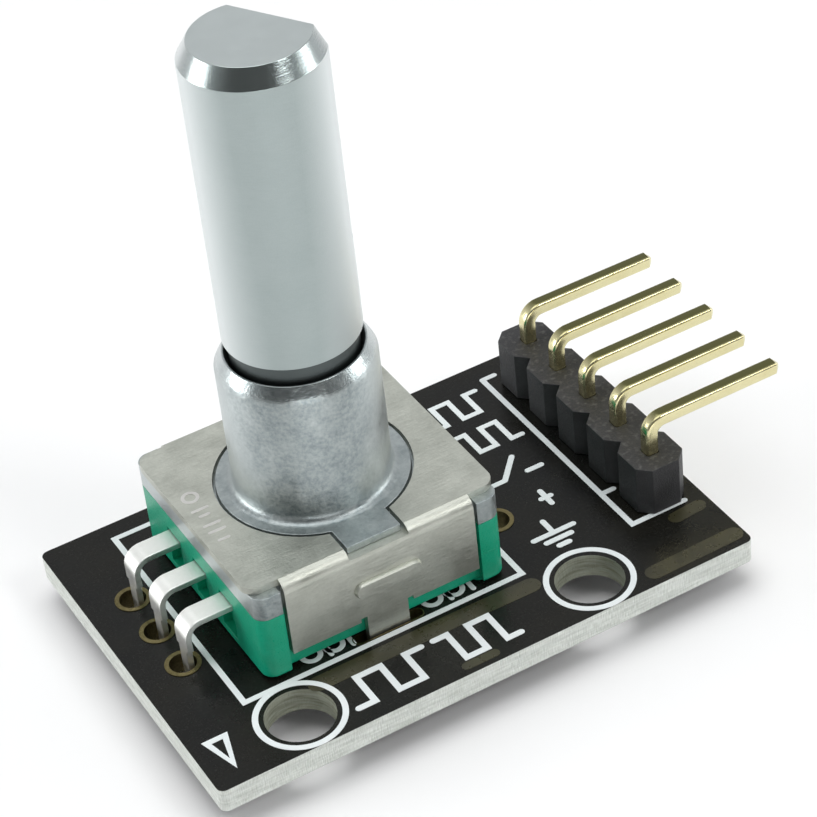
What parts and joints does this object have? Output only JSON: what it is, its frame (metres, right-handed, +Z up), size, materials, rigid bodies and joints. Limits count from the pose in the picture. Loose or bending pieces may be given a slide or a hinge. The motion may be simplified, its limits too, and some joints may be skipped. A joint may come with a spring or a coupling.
{
  "type": "rotary encoder",
  "caption": "Rotary encoder with push switch: tall D-flat shaft in a smooth bush over a green body in a folded steel cover, on a small black board with a row of bent header pins.",
  "frame": {"origin": "midway between the two mounting holes, on the board's underside", "axes": "+X along the line of the mounting holes, towards the tips of the header pins; +Y from the holes towards the shaft; +Z up along the shaft"},
  "size_m": [0.0315, 0.018, 0.0295],
  "materials": {
    "board_laminate": "black solder mask over glass laminate",
    "hole_plating": "dull gold plating",
    "header_plastic": "moulded black plastic",
    "pin_gold": "thin gold plating",
    "solder": "bright tin solder",
    "resistor_ceramic": "dark glazed ceramic",
    "tinned_metal": "matt tin",
    "cover_steel": "satin nickel plate on folded steel",
    "die_cast_zinc": "satin die-cast zinc",
    "spring_steel": "bright spring steel",
    "green_moulding": "emerald green moulding",
    "terminal_metal": "bright silver plating",
    "shaft_metal": "fine satin turned metal",
    "rotor_plastic": "natural white plastic",
    "code_disc_metal": "silvered brass",
    "plunger_plastic": "black acetal"
  },
  "bodies": {
    "board": {"pcb_board": "board_laminate", "plated_holes": "hole_plating", "header_base": "header_plastic", "header_pin_1": "pin_gold", "header_pin_2": "pin_gold", "header_pin_3": "pin_gold", "header_pin_4": "pin_gold", "header_pin_5": "pin_gold", "header_solder": "solder", "terminal_solder": "solder", "lug_solder": "solder", "pullup_resistors": "resistor_ceramic", "resistor_end_caps": "tinned_metal", "metal_cover": "cover_steel", "bush_plate": "die_cast_zinc", "click_spring": "spring_steel", "contact_base": "green_moulding", "switch_base": "green_moulding", "contact_a": "terminal_metal", "contact_common": "terminal_metal", "contact_b": "terminal_metal", "switch_terminal_1": "terminal_metal", "switch_terminal_2": "terminal_metal", "switch_dome": "spring_steel"},
    "rotor": {"rotor": "rotor_plastic", "code_disc": "code_disc_metal"},
    "shaft": {"shaft": "shaft_metal", "retaining_ring": "spring_steel"},
    "plunger": {"switch_plunger": "plunger_plastic"}
  },
  "joints": [
    {"name": "shaft_turn", "type": "hinge", "parent": "board", "child": "rotor", "pos_m": [-0.0015, 0.0082, 0.0047], "axis": [0, 0, 1], "continuous": true, "deforming": ["click_spring"]},
    {"name": "shaft_push", "type": "slide", "parent": "rotor", "child": "shaft", "axis": [0, 0, -1], "range_m": [0, 0.0005], "stiffness_N_per_m": 3000, "springref_m": -0.0005, "deforming": ["switch_dome"]},
    {"name": "plunger_push", "type": "slide", "parent": "board", "child": "plunger", "axis": [0, 0, -1], "range_m": [0, 0.0005]}
  ],
  "couplings": [
    {"joint": "plunger_push", "follows": "shaft_push", "ratio": 1}
  ]
}
